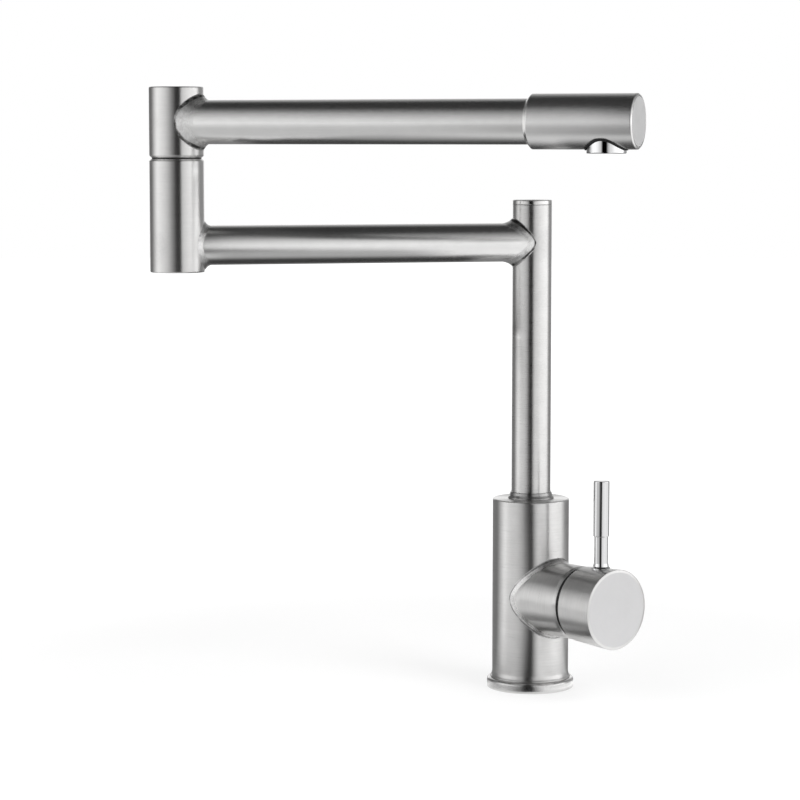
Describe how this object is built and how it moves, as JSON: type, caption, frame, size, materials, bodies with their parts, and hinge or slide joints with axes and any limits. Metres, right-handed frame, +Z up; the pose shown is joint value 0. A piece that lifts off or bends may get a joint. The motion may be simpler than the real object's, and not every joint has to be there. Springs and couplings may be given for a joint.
{
  "type": "folding sink mixer",
  "caption": "Single-lever sink mixer with a swivelling riser, a folding double arm and an aerated spout head, held to the deck by a threaded shank.",
  "frame": {"origin": "on the body's axis at the deck, the mouth of the shank thread", "axes": "+Z up along the riser, +X to the viewer's right and +Y away from the viewer in the picture"},
  "size_m": [0.3084, 0.1985, 0.3844],
  "materials": {
    "body_steel": "fine brushed stainless steel",
    "tube_steel": "satin stainless tube, brushed around",
    "head_steel": "matte brushed stainless steel",
    "disc_steel": "pale bead-blasted stainless disc",
    "screw_steel": "plain stainless steel",
    "bright_chrome": "polished",
    "brass": "turned brass",
    "black_acetal": "black slip plastic",
    "bush_acetal": "natural acetal",
    "white_plastic": "moulded plastic",
    "cartridge_plastic": "moulded grey plastic",
    "plug_plastic": "moulded grey plastic",
    "disc_ceramic": "ground ceramic",
    "seal_rubber": "nitrile rubber"
  },
  "bodies": {
    "base": {"base_flange": "body_steel", "base_seal": "seal_rubber", "mixer_body": "body_steel", "riser_collar": "tube_steel", "riser_lock_screw": "screw_steel", "cartridge_base": "cartridge_plastic", "port_seals": "seal_rubber", "fixed_disc": "disc_ceramic", "cartridge_shell": "cartridge_plastic", "cartridge_nut": "brass", "seam_ring": "black_acetal"},
    "riser": {"riser_tube": "tube_steel", "riser_top_cap": "tube_steel", "riser_spigot": "brass", "riser_o_rings": "seal_rubber", "lower_arm_tube": "tube_steel", "lower_knuckle": "tube_steel", "lower_knuckle_cap": "tube_steel", "elbow_bushes": "bush_acetal"},
    "spout": {"upper_knuckle": "tube_steel", "upper_knuckle_cap": "tube_steel", "elbow_spindle": "brass", "elbow_o_rings": "seal_rubber", "elbow_washer": "black_acetal", "elbow_lock_nut": "brass", "upper_arm_tube": "tube_steel", "spout_head": "head_steel", "head_end_disc": "disc_steel", "aerator_shell": "bright_chrome", "aerator_insert": "white_plastic", "aerator_gasket": "seal_rubber"},
    "stem_turn": {"stem_guide": "white_plastic", "pivot_pin": "screw_steel"},
    "handle": {"stem": "brass", "handle_cap": "body_steel", "handle_set_screw": "screw_steel", "screw_plug": "plug_plastic", "lever_root": "bright_chrome", "lever_rod": "bright_chrome", "lever_sleeve": "bright_chrome"},
    "disc_slide": {"disc_carrier": "white_plastic", "moving_disc": "disc_ceramic"}
  },
  "joints": [
    {"name": "riser_swivel", "type": "hinge", "parent": "base", "child": "riser", "pos_m": [0, 0, 0.1227], "axis": [0, 0, 1], "continuous": true},
    {"name": "elbow_swivel", "type": "hinge", "parent": "riser", "child": "spout", "pos_m": [-0.2217, -0.05323, 0.3404], "axis": [0, 0, 1], "continuous": true},
    {"name": "handle_turn", "type": "hinge", "parent": "base", "child": "stem_turn", "pos_m": [0, 0, 0.0603], "axis": [0.6428, -0.766, 0], "range_deg": [-45, 45]},
    {"name": "handle_lift", "type": "hinge", "parent": "stem_turn", "child": "handle", "pos_m": [0.02185, -0.02605, 0.0603], "axis": [0.766, 0.6428, 0], "range_deg": [0, 20]},
    {"name": "disc_travel", "type": "slide", "parent": "stem_turn", "child": "disc_slide", "axis": [0, 0, 1], "range_m": [0, 0.00264]}
  ],
  "couplings": [
    {"joint": "disc_travel", "follows": "handle_lift", "m_per_rad": 0.00754}
  ]
}
